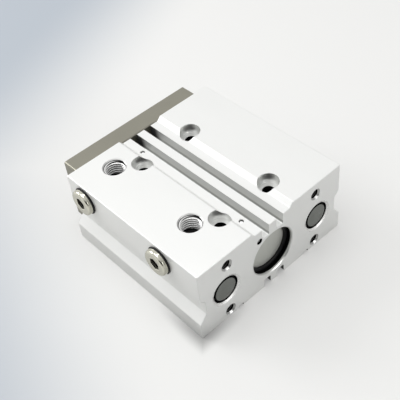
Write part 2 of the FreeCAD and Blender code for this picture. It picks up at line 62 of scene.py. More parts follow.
# Places taken from the CAD nodes and the record's mounts, in metres
BODY_LOW, BODY_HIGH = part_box("body")
COVER_LOW, COVER_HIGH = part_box("head_cover")
ROD_LOW, ROD_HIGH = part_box("guide_rod_right")
REAR_BALL_LOW, REAR_BALL_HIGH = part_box("rear_passage_ball")
TOP_BALLS_LOW, TOP_BALLS_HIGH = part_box("top_passage_balls")
PLUG_NODES = ("head_port_plug", "rod_port_plug")
REAR_Y = BODY_LOW.y
TOP_Z = BODY_HIGH.z
AXIS_Z = (COVER_LOW.z + COVER_HIGH.z) / 2
COVER_SEAT_R = (COVER_HIGH.z - COVER_LOW.z) / 2
GUIDE_X = (ROD_LOW.x + ROD_HIGH.x) / 2
GUIDE_ROD_R = (ROD_HIGH.z - ROD_LOW.z) / 2
MOUNTS = {mount["name"]: mount for mount in frame["record"]["mounts"]}
BOLT_HOLES = MOUNTS["top_bolt_holes"]
REAR_HOLES = MOUNTS["rear_tapped_holes"]
PLATE_HOLES = MOUNTS["plate_tapped_holes"]
PORTS = (MOUNTS["head_port"], MOUNTS["rod_port"])
BOLT_HOLE_R = BOLT_HOLES["dims"]["hole_r_mm"] * MM
M5_HOLE_R = REAR_HOLES["dims"]["hole_r_mm"] * MM

# Cuts in the body, with the sizes they have in its solid
SLOT_X = 4.05 * MM               # sensor slots, in the top channel and in the base
SLOT_HALF = 1.95 * MM
TOP_SLOT_DEPTH = 7.5 * MM
BASE_SLOT_DEPTH = 4.4 * MM
BASE_LIP = 0.8 * MM
CHANNEL_DEPTH = 2.0 * MM
RELIEF_X = 20.0 * MM             # relief flutes in the base
RELIEF_HALF = 1.5 * MM
RELIEF_DEPTH = 1.4 * MM
SCREW_SEAT_R = 4.75 * MM         # counterbores of the top bolt holes
PORT_DEPTH = 9.0 * MM

# Threads: coarse ridges in the ports, M5 in the tapped holes
Thread = namedtuple("Thread", "pitch depth start turns")
PORT_PITCH = 1.2 * MM
PORT_TURNS = PORTS[0]["dims"]["length_mm"] * MM / PORT_PITCH - 0.8
PORT_THREAD = Thread(pitch=PORT_PITCH, depth=0.62 * MM, start=-0.35 * MM, turns=PORT_TURNS)
M5_THREAD = Thread(pitch=0.8 * MM, depth=0.40 * MM, start=0.8 * MM, turns=8)
TURN_STEPS = 60

# Mouths and rod ends, fitted over the solids
M5_MOUTH = 0.33 * MM             # countersinks start a hair inside the solid's 0.35 mm chamfers
LIP_WIDTH = 1.0 * MM
LIP_DEPTH = 0.5 * MM
ROD_END_RECESS = 0.5 * MM
ROD_CHAMFER = 0.6 * MM
ROD_SLEEVE = 0.005 * MM          # how far a rod end stands over its rod
BORE_CLEARANCE = 0.6 * MM
ROUND_STEPS = 96
WELD = 0.001 * MM
HAIR = 0.02 * MM                 # keeps fitted faces off the solids' faces

# Port plugs
PLUG_HEAD = 2.2 * MM
PLUG_SHOULDER = 1.1 * MM
PLUG_SHOULDER_STEPS = 12
PLUG_SEAT_EDGE = 0.15 * MM
PLUG_THREAD_R = 4.8 * MM
PLUG_END_CHAMFER = 0.5 * MM
SOCKET_AF = 5.0 * MM             # hexagon socket, across flats
SOCKET_DEPTH = 3.2 * MM
SOCKET_MOUTH = 0.5 * MM          # how much wider the chamfered mouth is
SOCKET_TIP = 0.5 * MM
PLUG_STEPS = 96

# Looks of the body
SOFT_EDGE = 0.06 * MM            # half width of a mask's edge
SATIN = (0.83, 0.835, 0.82)
# Painted shade in the sensor slots: darker walls, a darker foot of the walls, a painted shadow of the
# front plate at the slot ends, and near black base slots and flutes
SLOT_WALL_SHADE = (0.66, 0.665, 0.65)
SLOT_FOOT_SHADE = (0.38, 0.385, 0.37)
SLOT_END_SHADOW = (0.08, 0.08, 0.08)
BASE_SLOT = (0.10, 0.10, 0.10)
COUNTERBORE_WALL = (0.86, 0.865, 0.85)
PORT_SHADE = (0.07, 0.07, 0.07)
HOLE_SHADE = (0.006, 0.006, 0.006)

# Stage: floor, surroundings and camera
FLOOR_SIZE = 6.0
FLOOR_DROP = 0.02 * MM           # keeps the floor off the plane of the base
FLOOR_PALE = (1.0, 1.0, 0.985)
FLOOR_COOL = (0.58, 0.63, 0.69)
FLOOR_LEFTWARDS = (-0.73, 0.68, 0.0)
FLOOR_FARTHER = (0.53, 0.48, 0.0)
FLOOR_PALE_MIDDLE = 0.03         # where along that direction the pale part is widest
FLOOR_PALE_TAPER = 0.6
FLOOR_COOL_SPAN = (0.065, 0.165)
FLOOR_BASE = 0.52                # share of the floor's brightness that shadows can take away
FLOOR_LIFT = 0.26
# Painted contact shadow on the floor round the body's near rear corner
CONTACT_WIDTH = 7.0 * MM
CONTACT_REACH = 30.0 * MM
CONTACT_SHADE = 0.5
# Painted shade in the floor's colour, seen only in bounced light: darker behind the body and close to
# its left
BOUNCE_FORWARDS = (-0.4, 0.9, 0.0)
BOUNCE_SPAN = (-0.12, 0.08)
BOUNCE_FRONT = 0.72
BOUNCE_REAR = 0.55
BOUNCE_NEAR = 0.68               # share left close to the body's left side
BOUNCE_NEAR_WIDTH = 40.0 * MM
BOUNCE_UNDER = 5.0 * MM          # how far that share fades out under the body
WORLD_BRIGHT_SIDE = (-0.45, 0.55, 0.70)
WORLD_BRIGHT_SPAN = (-0.6, 0.7)
WORLD_HIGH = 0.85
WORLD_LOW = 0.40
WORLD_DARK_SIDE = (-0.70, -0.71, 0.05)
WORLD_DARK_SPAN = (0.70, 0.92)
WORLD_DARK = 0.10                # share left there, which the bright plugs mirror
CAMERA_PLACE = Vector((-0.1460, -0.1831, 0.2582))
CAMERA_RIGHT = Vector((0.7276, -0.6806, -0.0861))
CAMERA_UP = Vector((0.5326, 0.4813, 0.6962))
CAMERA_LENS = 68.5


# ---------------------------------------------------------------- shader nodes


class Nodes:
    """Short calls that add nodes to a shader tree and link them."""

    def __init__(self, tree):
        self.tree = tree

    def node(self, kind, **settings):
        made = self.tree.nodes.new(kind)
        for key, value in settings.items():
            setattr(made, key, value)
        return made

    def feed(self, socket, value):
        """Links a socket, or sets a plain number or colour on it."""
        if isinstance(value, bpy.types.NodeSocket):
            self.tree.links.new(value, socket)
        else:
            socket.default_value = value

    def math(self, operation, *values):
        made = self.node("ShaderNodeMath", operation=operation)
        for socket, value in zip(made.inputs, values):
            self.feed(socket, value)
        return made.outputs[0]

    def ranged(self, value, low, high, to_low=0.0, to_high=1.0, curve="LINEAR"):
        """Maps the range from low to high onto another, and holds it at the ends."""
        made = self.node("ShaderNodeMapRange", interpolation_type=curve)
        for socket, number in zip(made.inputs, (value, low, high, to_low, to_high)):
            self.feed(socket, number)
        return made.outputs[0]

    def eased(self, value, low, high, to_low, to_high):
        """As ranged, with a soft start and end."""
        return self.ranged(value, low, high, to_low, to_high, "SMOOTHSTEP")

    def split(self, vector):
        parts = self.node("ShaderNodeSeparateXYZ")
        self.feed(parts.inputs[0], vector)
        return parts.outputs

    def along(self, vector, direction):
        """How far a vector reaches along a direction."""
        made = self.node("ShaderNodeVectorMath", operation="DOT_PRODUCT")
        self.feed(made.inputs[0], vector)
        self.feed(made.inputs[1], direction)
        return made.outputs["Value"]

    def scaled(self, vector, share):
        made = self.node("ShaderNodeVectorMath", operation="SCALE")
        self.feed(made.inputs[0], vector)
        self.feed(made.inputs["Scale"], share)
        return made.outputs[0]

    def mix(self, kind, amount, one, two):
        """Blends from one to two. The kind is RGBA for colours and VALUE for numbers."""
        made = self.node("ShaderNodeMix", data_type="RGBA" if kind == "RGBA" else "FLOAT")
        first, second = [socket for socket in made.inputs if socket.type == kind][-2:]
        self.feed(made.inputs["Factor"], amount)
        self.feed(first, one)
        self.feed(second, two)
        return [socket for socket in made.outputs if socket.type == kind][0]

    def seen_directly(self):
        """1 where the camera itself looks, 0 for light that bounces."""
        return self.node("ShaderNodeLightPath").outputs["Is Camera Ray"]

    def off(self, value, centre):
        """Distance from a plane, with its sign."""
        return self.math("SUBTRACT", value, centre)

    def off_pair(self, value, centre):
        """Distance from the nearer of two planes, one on each side of zero."""
        return self.off(self.math("ABSOLUTE", value), centre)

    def distance(self, one, two):
        squares = self.math("ADD", self.math("MULTIPLY", one, one), self.math("MULTIPLY", two, two))
        return self.math("SQRT", squares)

    def inside(self, value, limit, soft=SOFT_EDGE):
        """1 where the value is under the limit."""
        return self.ranged(value, limit + soft, limit - soft)

    def outside(self, value, limit, soft=SOFT_EDGE):
        """1 where the value is over the limit."""
        return self.ranged(value, limit - soft, limit + soft)

    def all_of(self, mask, *others):
        """1 where every mask is 1."""
        for other in others:
            mask = self.math("MULTIPLY", mask, other)
        return mask

    def any_of(self, mask, *others):
        """1 where at least one mask is 1."""
        for other in others:
            mask = self.math("MAXIMUM", mask, other)
        return mask


class Finish(Nodes):
    """A material on the principled shader, in the object's own coordinates."""

    def __init__(self, name, colour, metallic, roughness):
        self.material = bpy.data.materials.new(name)
        self.material.use_nodes = True
        super().__init__(self.material.node_tree)
        self.shader = self.tree.nodes["Principled BSDF"]
        self.set_input("Base Color", (*colour, 1.0))
        self.set_input("Metallic", metallic)
        self.set_input("Roughness", roughness)
        self.place = self.node("ShaderNodeTexCoord").outputs["Object"]
        self.x, self.y, self.z = self.split(self.place)
        self.surface = None

    def set_input(self, name, value):
        self.feed(self.shader.inputs[name], value)

    def noise(self, scale, detail=3.0):
        """Noise between 0 and 1. The scale is in cells per metre along x, y and z."""
        mapping = self.node("ShaderNodeMapping")
        self.feed(mapping.inputs["Vector"], self.place)
        self.feed(mapping.inputs["Scale"], scale)
        made = self.node("ShaderNodeTexNoise")
        self.feed(made.inputs["Vector"], mapping.outputs[0])
        self.feed(made.inputs["Scale"], 1.0)
        self.feed(made.inputs["Detail"], detail)
        return made.outputs["Fac"]

    def shift(self, name, amount, value):
        """Moves one of the shader's inputs towards a value where amount is 1."""
        target = self.shader.inputs[name]
        if target.links:
            before = target.links[0].from_socket
        elif target.type == "RGBA":
            before = tuple(target.default_value)
        else:
            before = target.default_value
        self.feed(target, self.mix(target.type, amount, before, value))

    def tint(self, amount, colour):
        self.shift("Base Color", amount, (*colour, 1.0))

    def blacken(self, amount, colour=HOLE_SHADE):
        """Paints shade: makes a surface dark and dull where amount is 1, as deep inside a hole."""
        self.tint(amount, colour)
        self.shift("Roughness", amount, 0.9)
        self.shift("Metallic", amount, 1.0)

    def bump(self, height, depth, strength):
        """Adds a relief of the given depth in metres to the surface."""
        made = self.node("ShaderNodeBump")
        self.feed(made.inputs["Strength"], strength)
        self.feed(made.inputs["Distance"], depth)
        self.feed(made.inputs["Height"], height)
        if self.surface:
            self.feed(made.inputs["Normal"], self.surface)
        self.surface = made.outputs[0]
        self.set_input("Normal", self.surface)


# ---------------------------------------------------------------- masks on the body


def pattern(mount):
    """Half spacings of a four-hole pattern, in metres."""
    return mount["dims"]["spacing_x_mm"] * MM / 2, mount["dims"]["spacing_y_mm"] * MM / 2


def from_bore(finish):
    return finish.distance(finish.x, finish.off(finish.z, AXIS_Z))


def from_guides(finish):
    return finish.distance(finish.off_pair(finish.x, GUIDE_X), finish.off(finish.z, AXIS_Z))


def from_rear_holes(finish):
    half_x, half_z = pattern(REAR_HOLES)
    return finish.distance(finish.off_pair(finish.x, half_x),
                           finish.off_pair(finish.off(finish.z, AXIS_Z), half_z))


def from_bolt_holes(finish):
    half_x, half_y = pattern(BOLT_HOLES)
    lengthwise = finish.off(finish.y, BOLT_HOLES["pos_m"][1])
    return finish.distance(finish.off_pair(finish.x, half_x), finish.off_pair(lengthwise, half_y))


def from_rear_passage(finish):
    return finish.distance(finish.off(finish.x, (REAR_BALL_LOW.x + REAR_BALL_HIGH.x) / 2),
                           finish.off(finish.z, (REAR_BALL_LOW.z + REAR_BALL_HIGH.z) / 2))


def from_top_passages(finish, ball_r):
    lengthwise = finish.off(finish.y, (TOP_BALLS_LOW.y + TOP_BALLS_HIGH.y) / 2)
    half_y = (TOP_BALLS_HIGH.y - TOP_BALLS_LOW.y) / 2 - ball_r
    return finish.distance(finish.off(finish.x, (TOP_BALLS_LOW.x + TOP_BALLS_HIGH.x) / 2),
                           finish.off_pair(lengthwise, half_y))


def in_ports(finish, margin):
    """1 within the port holes and a margin round them."""
    masks = []
    for port in PORTS:
        x, y, _ = port["pos_m"]
        away = finish.distance(finish.off(finish.x, x), finish.off(finish.y, y))
        masks.append(finish.inside(away, port["dims"]["r_mm"] * MM + margin))
    return finish.any_of(*masks)


def strip_pair(finish, centre, half):
    """1 in two strips along y, one on each side of the middle."""
    across = finish.math("ABSOLUTE", finish.off_pair(finish.x, centre))
    return finish.inside(across, half + 0.05 * MM, 0.02 * MM)


def slot_shade(finish):
    """Painted shade on the walls of the sensor slots and relief flutes: darker walls and foot, a
    painted shadow of the front plate at the slot ends, and dark base slots and flutes.
    """
    floor_z = TOP_Z - TOP_SLOT_DEPTH
    upper = finish.all_of(
        strip_pair(finish, SLOT_X, SLOT_HALF),
        finish.inside(finish.z, TOP_Z - CHANNEL_DEPTH - 0.1 * MM, 0.08 * MM),
        finish.outside(finish.z, floor_z - 0.1 * MM))
    lower = finish.all_of(
        strip_pair(finish, SLOT_X, SLOT_HALF + BASE_LIP),
        finish.inside(finish.z, BASE_SLOT_DEPTH + 0.1 * MM),
        finish.outside(finish.z, 0.04 * MM, 0.02 * MM))
    flute = finish.all_of(
        strip_pair(finish, RELIEF_X, RELIEF_HALF),
        finish.inside(finish.z, RELIEF_DEPTH + 0.1 * MM))
    behind_skin = finish.outside(finish.y, REAR_Y + 0.05 * MM, 0.03 * MM)
    upper_walls = finish.all_of(upper, behind_skin)
    foot = finish.inside(finish.z, floor_z + 1.2 * MM, 0.5 * MM)
    floor_band = finish.inside(finish.z, floor_z + 0.15 * MM, 0.08 * MM)
    plate_shadow_reach = finish.outside(finish.y, BODY_HIGH.y - 4.5 * MM, 1.5 * MM)
    finish.tint(upper_walls, SLOT_WALL_SHADE)
    finish.tint(finish.all_of(upper_walls, foot), SLOT_FOOT_SHADE)
    finish.tint(finish.all_of(upper_walls, floor_band), SATIN)
    # Painted shadow of the front plate over the last millimetres of the top slots
    finish.tint(finish.all_of(upper, plate_shadow_reach), SLOT_END_SHADOW)
    finish.tint(finish.all_of(finish.any_of(lower, flute), behind_skin), BASE_SLOT)


def cut_surfaces(finish):
    """Brighter, more mirror-like metal where the body was milled: counterbores and chamfered mouths."""
    rear_mouths = finish.all_of(
        finish.outside(finish.y, REAR_Y + 0.02 * MM, 0.01 * MM),
        finish.inside(finish.y, REAR_Y + 0.7 * MM),
        finish.any_of(finish.inside(from_guides(finish), GUIDE_ROD_R + 1.8 * MM),
                      finish.inside(from_rear_holes(finish), M5_HOLE_R + 0.7 * MM),
                      finish.inside(from_bore(finish), COVER_SEAT_R + 0.6 * MM)))
    port_mouths = finish.all_of(
        finish.inside(finish.z, TOP_Z - 0.02 * MM, 0.01 * MM),
        finish.outside(finish.z, TOP_Z - 0.6 * MM),
        in_ports(finish, 0.7 * MM))
    from_seat = from_bolt_holes(finish)
    counterbores = finish.all_of(
        finish.inside(from_seat, SCREW_SEAT_R + 0.1 * MM),
        finish.inside(finish.z, TOP_Z - 0.03 * MM, 0.01 * MM),
        finish.outside(finish.z, AXIS_Z))
    walls = finish.all_of(counterbores, finish.outside(from_seat, SCREW_SEAT_R - 0.1 * MM))
    finish.tint(walls, COUNTERBORE_WALL)
    milled = finish.any_of(rear_mouths, port_mouths, counterbores)
    finish.shift("Metallic", milled, 1.0)
    finish.shift("Roughness", milled, 0.3)


def deep_holes(finish):
    """Painted shade inside the body's bores, tapped holes, through holes, passages and ports."""
    rear_ball_r = (REAR_BALL_HIGH.x - REAR_BALL_LOW.x) / 2
    top_ball_r = (TOP_BALLS_HIGH.x - TOP_BALLS_LOW.x) / 2
    below_top_balls = finish.all_of(finish.inside(finish.z, TOP_BALLS_HIGH.z - 0.15 * MM),
                                    finish.outside(finish.z, AXIS_Z))
    holes = (
        (from_bore(finish), COVER_SEAT_R + 1.0 * MM,
         finish.outside(finish.y, REAR_Y + 1.1 * MM, 0.2 * MM)),
        (from_guides(finish), GUIDE_ROD_R + 1.2 * MM,
         finish.outside(finish.y, REAR_Y + LIP_WIDTH - 0.1 * MM)),
        (from_rear_holes(finish), M5_HOLE_R + 0.12 * MM,
         finish.outside(finish.y, REAR_Y + 0.35 * MM)),
        (from_rear_passage(finish), rear_ball_r + 0.15 * MM,
         finish.outside(finish.y, REAR_Y + 0.1 * MM)),
        (from_bolt_holes(finish), BOLT_HOLE_R + 0.15 * MM,
         finish.inside(finish.z, BOLT_HOLES["pos_m"][2] - 0.1 * MM)),
        (from_top_passages(finish, top_ball_r), top_ball_r + 0.15 * MM, below_top_balls),
    )
    masks = [finish.all_of(finish.inside(away, radius), deep) for away, radius, deep in holes]
    finish.blacken(finish.any_of(*masks))
    port_walls = finish.all_of(
        in_ports(finish, 0.1 * MM),
        finish.inside(finish.z, PORTS[0]["pos_m"][2]),
        finish.outside(finish.z, TOP_Z - PORT_DEPTH - 0.3 * MM))
    finish.blacken(port_walls, PORT_SHADE)


# ---------------------------------------------------------------- materials


def anodised_aluminium():
    """Clear satin anodised extrusion: fine grain, faint drawn lines along y, painted shade in the slots
    and deep holes.
    """
    finish = Finish("anodised_aluminium", SATIN, 0.5, 0.40)
    clouds = finish.noise((55.0, 20.0, 55.0))
    grain = finish.noise((5200.0, 5200.0, 5200.0), 2.0)
    drawn = finish.noise((3800.0, 30.0, 3800.0), 2.0)
    finish.tint(finish.ranged(clouds, 0.35, 0.75, 0.0, 0.3), (0.78, 0.785, 0.77))
    finish.set_input("Roughness", finish.ranged(grain, 0.3, 0.7, 0.34, 0.46))
    finish.bump(grain, 0.018 * MM, 0.5)
    finish.bump(drawn, 0.010 * MM, 0.4)
    slot_shade(finish)
    cut_surfaces(finish)
    deep_holes(finish)
    return finish.material


def turned_aluminium():
    """Dull turned face: rings round the bore axis, painted shade at the rim."""
    finish = Finish("turned_aluminium", (0.60, 0.61, 0.57), 0.7, 0.42)
    away = from_bore(finish)
    rings = finish.math("SINE", finish.math("MULTIPLY", away, 2 * math.pi / (0.35 * MM)))
    grain = finish.noise((3000.0, 3000.0, 3000.0), 2.0)
    clouds = finish.noise((120.0, 120.0, 120.0))
    finish.tint(finish.ranged(clouds, 0.35, 0.7, 0.0, 0.3), (0.54, 0.55, 0.51))
    finish.bump(rings, 0.0025 * MM, 0.5)
    finish.bump(grain, 0.012 * MM, 0.4)
    finish.blacken(finish.outside(away, COVER_SEAT_R - 1.25 * MM, 0.35 * MM))
    return finish.material


def nickel_plated_steel():
    """Front plate: brownish matt nickel over a ground face."""
    finish = Finish("nickel_plated_steel", (0.31, 0.30, 0.25), 0.9, 0.38)
    ground = finish.noise((500.0, 5000.0, 500.0))
    grain = finish.noise((2600.0, 2600.0, 2600.0))
    clouds = finish.noise((70.0, 70.0, 70.0))
    finish.tint(finish.ranged(clouds, 0.35, 0.7, 0.0, 0.35), (0.26, 0.25, 0.21))
    finish.set_input("Roughness", finish.ranged(grain, 0.3, 0.7, 0.32, 0.46))
    finish.bump(ground, 0.006 * MM, 0.35)
    finish.bump(grain, 0.012 * MM, 0.35)
    return finish.material


def nickel_plated_brass():
    """Port plugs: bright, slightly warm nickel with fine turning marks, painted shade inside the
    socket.
    """
    finish = Finish("nickel_plated_brass", (0.66, 0.65, 0.56), 1.0, 0.10)
    clouds = finish.noise((300.0, 300.0, 300.0))
    turned = finish.noise((9000.0, 700.0, 700.0), 2.0)
    finish.tint(finish.ranged(clouds, 0.35, 0.7, 0.0, 0.25), (0.56, 0.55, 0.47))
    finish.set_input("Roughness", finish.ranged(clouds, 0.3, 0.7, 0.06, 0.15))
    finish.bump(turned, 0.004 * MM, 0.3)
    for node in PLUG_NODES:
        low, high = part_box(node)
        away = finish.distance(finish.off(finish.z, (low.z + high.z) / 2),
                               finish.off(finish.y, (low.y + high.y) / 2))
        finish.blacken(finish.all_of(finish.outside(finish.x, low.x + 0.9 * MM, 0.5 * MM),
                                     finish.inside(away, SOCKET_AF * 0.6)))
    return finish.material


def chromed_steel():
    """Guide rods: ground round the outside, finely turned grey ends with painted shade on the end
    chamfer.
    """
    finish = Finish("chromed_steel", (0.24, 0.25, 0.235), 1.0, 0.30)
    ground = finish.noise((900.0, 9000.0, 900.0), 2.0)
    grain = finish.noise((4000.0, 4000.0, 4000.0), 2.0)
    clouds = finish.noise((150.0, 60.0, 150.0))
    finish.tint(finish.ranged(clouds, 0.35, 0.7, 0.0, 0.3), (0.17, 0.175, 0.16))
    finish.set_input("Roughness", finish.ranged(grain, 0.3, 0.7, 0.26, 0.42))
    finish.bump(ground, 0.003 * MM, 0.3)
    finish.bump(grain, 0.008 * MM, 0.35)
    finish.blacken(finish.all_of(finish.outside(from_guides(finish), GUIDE_ROD_R - ROD_CHAMFER),
                                 finish.inside(finish.y, ROD_LOW.y + 2.0 * MM)))
    return finish.material


def blackened_steel():
    """Snap rings and screws: black oxide, slightly worn."""
    finish = Finish("blackened_steel", (0.022, 0.022, 0.024), 0.6, 0.42)
    wear = finish.noise((700.0, 700.0, 700.0))
    grain = finish.noise((4500.0, 4500.0, 4500.0), 2.0)
    finish.tint(finish.ranged(wear, 0.55, 0.8, 0.0, 0.5), (0.06, 0.06, 0.062))
    finish.set_input("Roughness", finish.ranged(grain, 0.3, 0.7, 0.34, 0.52))
    finish.bump(grain, 0.01 * MM, 0.4)
    return finish.material


def ball_steel():
    """Polished steel balls that close the drilled passages. The one in the rear face is greyer: painted
    shade.
    """
    finish = Finish("ball_steel", (0.90, 0.90, 0.89), 0.25, 0.3)
    clouds = finish.noise((1500.0, 1500.0, 1500.0))
    finish.set_input("Roughness", finish.ranged(clouds, 0.3, 0.7, 0.22, 0.38))
    finish.tint(finish.ranged(clouds, 0.4, 0.7, 0.0, 0.3), (0.78, 0.78, 0.77))
    finish.bump(clouds, 0.003 * MM, 0.3)
    # Painted shade: the rear ball is tinted darker
    finish.tint(finish.inside(finish.y, REAR_BALL_HIGH.y + 0.1 * MM), (0.30, 0.30, 0.29))
    return finish.material


def bearing_bronze():
    """Sintered bushes: porous dull bronze."""
    finish = Finish("bearing_bronze", (0.42, 0.29, 0.15), 0.85, 0.45)
    pores = finish.noise((3500.0, 3500.0, 3500.0), 4.0)
    clouds = finish.noise((200.0, 200.0, 200.0))
    finish.tint(finish.ranged(clouds, 0.35, 0.7, 0.0, 0.4), (0.32, 0.22, 0.12))
    finish.set_input("Roughness", finish.ranged(pores, 0.3, 0.7, 0.35, 0.6))
    finish.bump(pores, 0.02 * MM, 0.5)
    return finish.material


def black_rubber():
    """Seals and bumpers."""
    finish = Finish("black_rubber", (0.010, 0.010, 0.010), 0.0, 0.6)
    grain = finish.noise((3000.0, 3000.0, 3000.0))
    finish.tint(finish.ranged(grain, 0.45, 0.75, 0.0, 0.5), (0.02, 0.02, 0.02))
    finish.set_input("Roughness", finish.ranged(grain, 0.3, 0.7, 0.5, 0.75))
    finish.set_input("Specular IOR Level", 0.25)
    finish.bump(grain, 0.015 * MM, 0.4)
    return finish.material


def magnet_compound():
    """Magnet ring: dark powder in a plastic binder."""
    finish = Finish("magnet_compound", (0.055, 0.05, 0.047), 0.15, 0.5)
    powder = finish.noise((4200.0, 4200.0, 4200.0), 4.0)
    finish.tint(finish.ranged(powder, 0.5, 0.75, 0.0, 0.6), (0.12, 0.11, 0.10))
    finish.bump(powder, 0.015 * MM, 0.4)
    return finish.material


def slide_ring_plastic():
    """Wear ring: natural slide resin."""
    finish = Finish("slide_ring_plastic", (0.62, 0.59, 0.52), 0.0, 0.42)
    clouds = finish.noise((400.0, 400.0, 400.0))
    grain = finish.noise((3500.0, 3500.0, 3500.0), 2.0)
    finish.tint(finish.ranged(clouds, 0.35, 0.7, 0.0, 0.3), (0.52, 0.49, 0.43))
    finish.bump(grain, 0.01 * MM, 0.3)
    return finish.material


def thread_metal(name, crest, root):
    """Cut thread: bright along the crest, with painted shade down in the root."""
    finish = Finish(name, crest, 0.4, 0.3)
    height = finish.node("ShaderNodeAttribute", attribute_name="crest").outputs["Fac"]
    grain = finish.noise((4000.0, 4000.0, 4000.0), 2.0)
    finish.set_input("Roughness", finish.ranged(grain, 0.3, 0.7, 0.24, 0.4))
    finish.bump(grain, 0.01 * MM, 0.3)
    finish.blacken(finish.ranged(height, 0.5, 0.15), root)
    return finish.material


def mouth_metal(name, colour):
    """Freshly cut chamfers: bright, smooth metal with turning marks."""
    finish = Finish(name, colour, 1.0, 0.3)
    clouds = finish.noise((500.0, 500.0, 500.0))
    marks = finish.noise((600.0, 9000.0, 600.0), 2.0)
    finish.tint(finish.ranged(clouds, 0.35, 0.7, 0.0, 0.3), [0.9 * part for part in colour])
    finish.set_input("Roughness", finish.ranged(clouds, 0.3, 0.7, 0.24, 0.36))
    finish.bump(marks, 0.004 * MM, 0.3)
    return finish.material


# Each is named after the record's material slot that it dresses
SLOT_FINISHES = (
    anodised_aluminium,
    turned_aluminium,
    nickel_plated_steel,
    nickel_plated_brass,
    chromed_steel,
    blackened_steel,
    ball_steel,
    bearing_bronze,
    black_rubber,
    magnet_compound,
    slide_ring_plastic,
)


def dress_nodes(finishes):
    """Gives every CAD node the finish that its material slot in the record names."""
    for part in frame["record"]["subparts"]:
        for slot in frame["nodes"][part["node"]].material_slots:
            slot.material = finishes[part["material_slot"]]


# ---------------------------------------------------------------- mesh pieces

# What a made piece wears and rides on
Dress = namedtuple("Dress", "material body slot")


def add_piece(name, mesh, dress):
    """Makes an object of a bmesh, shades it and lets it ride on a CAD body."""
    material, body, slot = dress
    bmesh.ops.recalc_face_normals(mesh, faces=mesh.faces)
    data = bpy.data.meshes.new(name)
    mesh.to_mesh(data)
    mesh.free()
    data.materials.append(material)
    data.polygons.foreach_set("use_smooth", [True] * len(data.polygons))
    data.set_sharp_from_angle(angle=math.radians(34))
    piece = bpy.data.objects.new(name, data)
    bpy.context.scene.collection.objects.link(piece)
    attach(piece, body)
    return piece


def ring(mesh, steps, place):
    """A ring of vertices. The function gives a vertex's place from its angle."""
    return [mesh.verts.new(place(2 * math.pi * i / steps)) for i in range(steps)]


def skin_rings(mesh, rings):
    """Quads between neighbouring rings of vertices."""
    for one, two in zip(rings, rings[1:]):
        for i in range(len(one)):
            j = (i + 1) % len(one)
            mesh.faces.new((one[i], one[j], two[j], two[i]))


def cap_ends(mesh, rings):
    mesh.faces.new(rings[0])
    mesh.faces.new(rings[-1])


def thread_ridge(name, mouth, direction, wall_r, thread, dress):
    """A helical thread ridge that stands inwards from the wall of a round hole."""
    # Section: outwards from the wall, lengthwise in pitches, and how high up the crest
    section = ((0.05 * MM, -0.42, 0.0), (0.0, -0.38, 0.0), (-thread.depth, -0.14, 1.0),
               (-thread.depth, 0.14, 1.0), (0.0, 0.38, 0.0), (0.05 * MM, 0.42, 0.0))
    turn_to = Vector((0, 0, 1)).rotation_difference(direction).to_matrix()
    steps = int(thread.turns * TURN_STEPS)
    run_out = TURN_STEPS / 3
    mesh = bmesh.new()
    crest = mesh.verts.layers.float.new("crest")
    rings = []
    for step in range(steps + 1):
        angle = 2 * math.pi * step / TURN_STEPS
        grown = min(1.0, step / run_out, (steps - step) / run_out)
        rings.append([])
        for outwards, lengthwise, height in section:
            radius = wall_r + (outwards * grown if outwards < 0 else outwards)
            depth = thread.start + thread.pitch * (step / TURN_STEPS + lengthwise + 0.5)
            local = Vector((radius * math.cos(angle), radius * math.sin(angle), -depth))
            point = mesh.verts.new(mouth + turn_to @ local)
            point[crest] = height * grown
            rings[-1].append(point)
    skin_rings(mesh, rings)
    cap_ends(mesh, rings)
    add_piece(name, mesh, dress)


def port_threads(dress):
    for port in PORTS:
        thread_ridge(port["name"] + "_thread", Vector(port["pos_m"]), Vector(port["axis"]),
                     port["dims"]["r_mm"] * MM, PORT_THREAD, dress)


def four_places(mount):
    """The centres of a four-hole pattern on an end face, named by where they are."""
    half_x, half_z = pattern(mount)
    for side, x in (("left", -half_x), ("right", half_x)):
        for level, z in (("base", -half_z), ("top", half_z)):
            yield f"{side}_{level}", Vector(mount["pos_m"]) + Vector((x, 0, z))


def end_threads(mount, prefix, dress):
    for place, mouth in four_places(mount):
        thread_ridge(f"{prefix}_thread_{place}", mouth, Vector(mount["axis"]),
                     mount["dims"]["hole_r_mm"] * MM, M5_THREAD, dress)


def turned_piece(name, profile, x, z, dress):
    """Surface turned about a line along y at x and z, from (y, radius) points."""
    mesh = bmesh.new()
    rings = []
    for y, radius in profile:
        def place(angle):
            return x + radius * math.sin(angle), y, z + radius * math.cos(angle)
        rings.append(ring(mesh, ROUND_STEPS, place))
    skin_rings(mesh, rings)
    if profile[0] == profile[-1]:
        bmesh.ops.remove_doubles(mesh, verts=mesh.verts, dist=WELD)
    else:
        cap_ends(mesh, rings)
    add_piece(name, mesh, dress)


def guide_mouths(lip_dress, rod_dress):
    """Shallow chamfer lips at the rear guide bores, and rod ends that stand nearly flush in them."""
    bore_r = GUIDE_ROD_R + BORE_CLEARANCE
    lip_r = bore_r + LIP_WIDTH
    lip = [(REAR_Y, lip_r), (REAR_Y + LIP_DEPTH, bore_r), (REAR_Y + LIP_WIDTH, bore_r),
           (REAR_Y + LIP_WIDTH, lip_r), (REAR_Y, lip_r)]
    end_y = REAR_Y + ROD_END_RECESS
    sleeve_y = ROD_LOW.y + 2 * ROD_CHAMFER
    end = [(end_y, 0.1 * MM), (end_y, GUIDE_ROD_R - ROD_CHAMFER), (end_y + ROD_CHAMFER, GUIDE_ROD_R),
           (sleeve_y, GUIDE_ROD_R + ROD_SLEEVE), (sleeve_y, GUIDE_ROD_R - 0.3 * MM)]
    for side, x in (("left", -GUIDE_X), ("right", GUIDE_X)):
        turned_piece(f"guide_bore_lip_{side}", lip, x, AXIS_Z, lip_dress)
        turned_piece(f"guide_rod_end_{side}", end, x, AXIS_Z, rod_dress)


